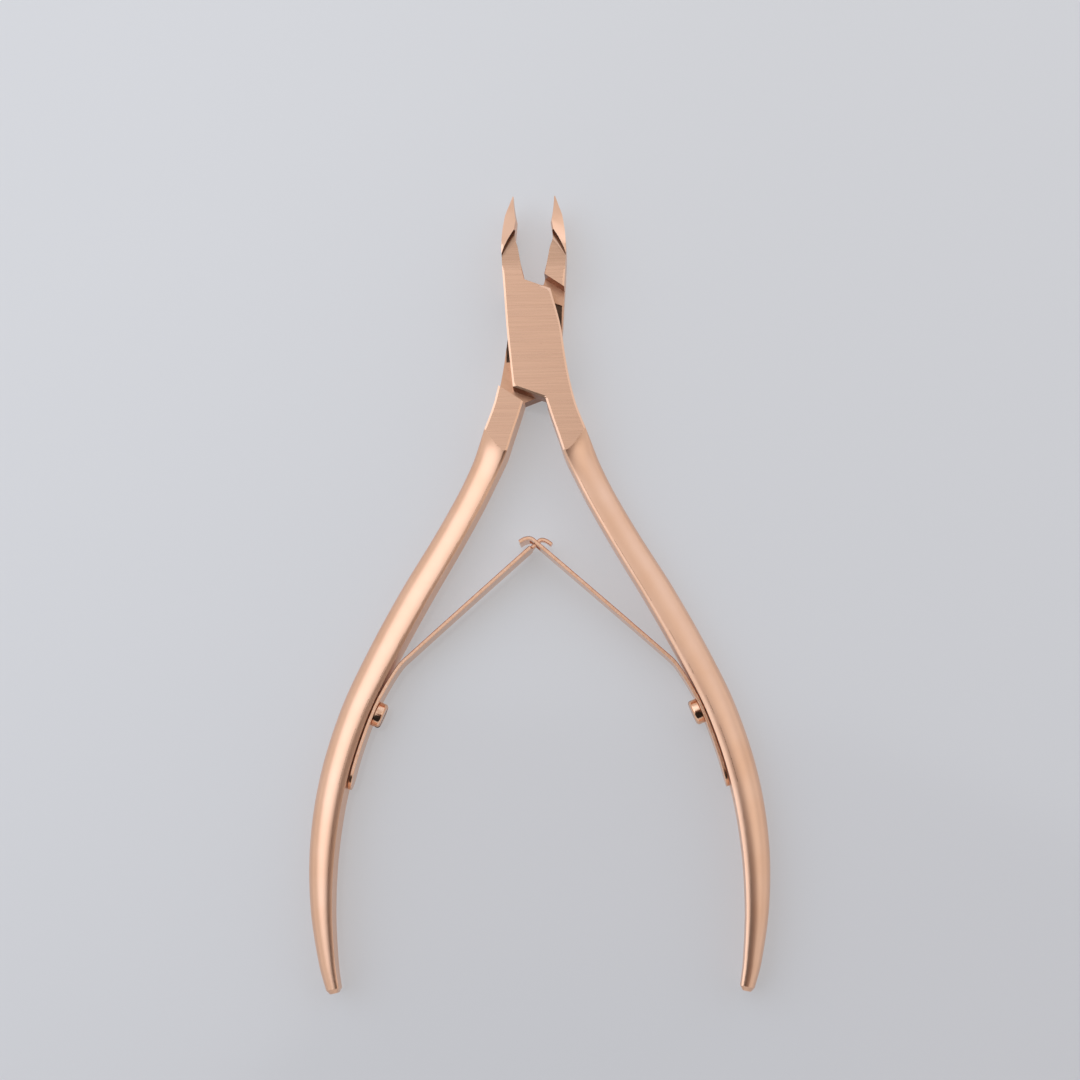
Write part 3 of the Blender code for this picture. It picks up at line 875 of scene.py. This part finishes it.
def screw_metal():
    """Screws: polished plating with fine turning marks."""
    material, nodes = metal("screw_rose_gold")
    marks = nodes.noise(6000, 2)
    color = nodes.mix(nodes.spread(marks, 0, 1), ROSE_DEEP, ROSE_LIGHT)
    nodes.set(nodes.shader.inputs["Base Color"], color)
    nodes.set(nodes.shader.inputs["Roughness"], nodes.spread(marks, 0.10, 0.18))
    return material


# ---------------------------------------------------------------- riding and hiding the CAD nodes

def finish_piece(item, body, slot, *nodes):
    """Put a piece on its body and hide the CAD nodes that it stands for; the name of its finish is not used.
    """
    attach(item, body)
    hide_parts(*nodes)


def spring_piece(name, place, tip, has_tongue, materials):
    """A leaf with its placing baked into its mesh, in place of its CAD node, which is hidden."""
    item = leaf(name, place, tip, has_tongue, materials)
    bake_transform(item)
    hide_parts(name)


# ---------------------------------------------------------------- studio

# Lengths from here on are metres, apart from the camera's lens and sensor in millimetres.
FLOOR_SIZE = 3.0
FLOOR_DROP = 0.00002            # below the tool, so that the two don't share a plane
# Floor tones: painted shade, darker towards the near right where the studio's light falls off.
FLOOR_FAR = (0.355, 0.355, 0.362, 1)
FLOOR_NEAR = (0.315, 0.315, 0.33, 1)
FLOOR_FADE_WAY = (-0.45, 0.9, 0)
FLOOR_FADE = (-0.10, 0.04)      # distances along that way, from the near tone to the far one
FLOOR_GLOW = 0.345
WALLS = (0.74, 0.745, 0.76)

# What the tool reflects: (azimuth, angle from straight up), angle of the full core, angle where
# it has faded out, and colour. Azimuth 90 is beyond the jaws.
GLOWS = [
    ((0, 38), 8, 32, (1.0, 1.0, 1.0)),
    ((150, 40), 18, 38, (1.52, 1.64, 1.86)),
    ((58, 66), 14, 36, (0.96, 1.04, 1.18)),
]

# Boards that the tool reflects, as outlines at a height, with their colours.
BROWN_BOARD = [(-0.05, -0.02), (0.08, -0.03), (0.55, -0.25), (0.8, -0.9), (-0.6, -0.9), (-0.5, -0.5),
               (-0.075, -0.11)]
BROWN_HEIGHT = 0.37
BROWN = (0.26, 0.15, 0.115, 1)
BLACK_BOARD = [(-0.045, -0.10), (0.05, -0.10), (0.45, -0.6), (0.7, -0.9), (-0.6, -0.9), (-0.5, -0.5),
               (-0.075, -0.11)]
BLACK_HEIGHT = 0.36
BLACK = (0.02, 0.018, 0.018, 1)

CAMERA_PLACE = (0.0120, -0.0826, 0.3339)
AIM = (0.0005, -0.0299)         # where the middle of the view meets the mid-plane
TOP_OF_VIEW = (0.0077, 1.0, 0.0)
LENS = 77.5
SENSOR = 36.0
CLIP_START = 0.01


def camera():
    """High over the lower part of the handles, looking down and a little towards the jaws."""
    data = bpy.data.cameras.new("camera")
    item = bpy.data.objects.new("camera", data)
    bpy.context.collection.objects.link(item)
    back = (Vector(CAMERA_PLACE) - Vector((*AIM, MID_PLANE))).normalized()
    right = Vector(TOP_OF_VIEW).cross(back).normalized()
    turn = Matrix((right, back.cross(right), back)).transposed()
    item.matrix_world = Matrix.Translation(CAMERA_PLACE) @ turn.to_4x4()
    data.sensor_width = SENSOR
    data.lens = LENS
    data.clip_start = CLIP_START
    bpy.context.scene.camera = item


def floor():
    """Pale acrylic sheet, faintly lit from below, with painted shade making it a little darker towards the
    near right.
    """
    mesh_data = bmesh.new()
    bmesh.ops.create_grid(mesh_data, x_segments=1, y_segments=1, size=FLOOR_SIZE / 2)
    material = bpy.data.materials.new("floor")
    nodes = Nodes(material)
    place = nodes.add("ShaderNodeTexCoord").outputs["Object"]
    along = nodes.add("ShaderNodeVectorMath", {0: place, 1: FLOOR_FADE_WAY}, operation='DOT_PRODUCT')
    share = nodes.ramp(along.outputs["Value"], *FLOOR_FADE, 0, 1)
    # painted shade: near tone to far tone across the floor
    nodes.set(nodes.shader.inputs["Base Color"], nodes.mix(share, FLOOR_NEAR, FLOOR_FAR))
    nodes.shader.inputs["Roughness"].default_value = 0.12
    nodes.shader.inputs["Emission Color"].default_value = (0.985, 0.985, 1.0, 1)
    nodes.shader.inputs["Emission Strength"].default_value = FLOOR_GLOW
    item = new_piece("floor", mesh_data, Matrix.Translation((0, 0, -FLOOR_DROP)), [material])


def board(name, outline, height, color):
    """A dark board behind the camera, on the unlit side of the studio. It shows only as a reflection."""
    mesh_data = bmesh.new()
    mesh_data.faces.new([mesh_data.verts.new((x, y, height)) for x, y in outline])
    material = bpy.data.materials.new(name)
    nodes = Nodes(material)
    nodes.shader.inputs["Base Color"].default_value = color
    nodes.shader.inputs["Roughness"].default_value = 0.9
    item = new_piece(name, mesh_data, Matrix.Identity(4), [material])
    item.visible_camera = False


def direction(azimuth, zenith):
    """Unit vector at an azimuth in degrees from +X and an angle from straight up."""
    flat = polar(azimuth) * math.sin(math.radians(zenith))
    return (flat.x, flat.y, math.cos(math.radians(zenith)))


def world():
    """Surroundings of the studio: pale walls and soft lights."""
    data = bpy.data.worlds.new("studio")
    nodes = Nodes(data, "Background")
    toward = nodes.add("ShaderNodeTexCoord").outputs["Generated"]
    light = (*WALLS, 1.0)
    for centre, core, rim, color in GLOWS:
        spot = nodes.add("ShaderNodeVectorMath", {0: toward, 1: direction(*centre)}, operation='DOT_PRODUCT')
        share = nodes.ramp(spot.outputs["Value"], math.cos(math.radians(rim)),
                           math.cos(math.radians(core)), 0, 1, 'SMOOTHSTEP')
        light = nodes.mix(share, light, (*color, 1.0))
    nodes.set(nodes.shader.inputs["Color"], light)
    bpy.context.scene.world = data


def main():
    brushed, spring, screw = brushed_metal(), spring_metal(), screw_metal()
    forged = [satin_metal(), brushed, lap_faces_painted_shade_metal(), pocket_painted_shade_metal(), lap_wall_painted_shade_metal(), hollow_metal()]
    forging("upper_half", "upper_lever", PLACE_UPPER, forged)
    forging("lower_half", "lower_lever", PLACE_LOWER, forged)
    pin = new_piece("pivot_rivet", rivet(RIVET_RADIUS, 2 * HALF_THICKNESS), PLACE_UPPER, [brushed])
    shade(pin)
    finish_piece(pin, "lower_lever", "satin_metal", "pivot_rivet")
    spring_piece("right_spring", PLACE_UPPER, RIGHT_TIP, False, [spring])
    spring_piece("left_spring", PLACE_LOWER, LEFT_TIP, True, [spring])
    spring_screw("right_spring_screw", "upper_lever", PLACE_UPPER, [screw])
    spring_screw("left_spring_screw", "lower_lever", PLACE_LOWER, [screw])
    camera()
    floor()
    board("brown_board", BROWN_BOARD, BROWN_HEIGHT, BROWN)
    board("black_board", BLACK_BOARD, BLACK_HEIGHT, BLACK)
    world()
    bpy.context.scene.view_settings.view_transform = 'Standard'


main()
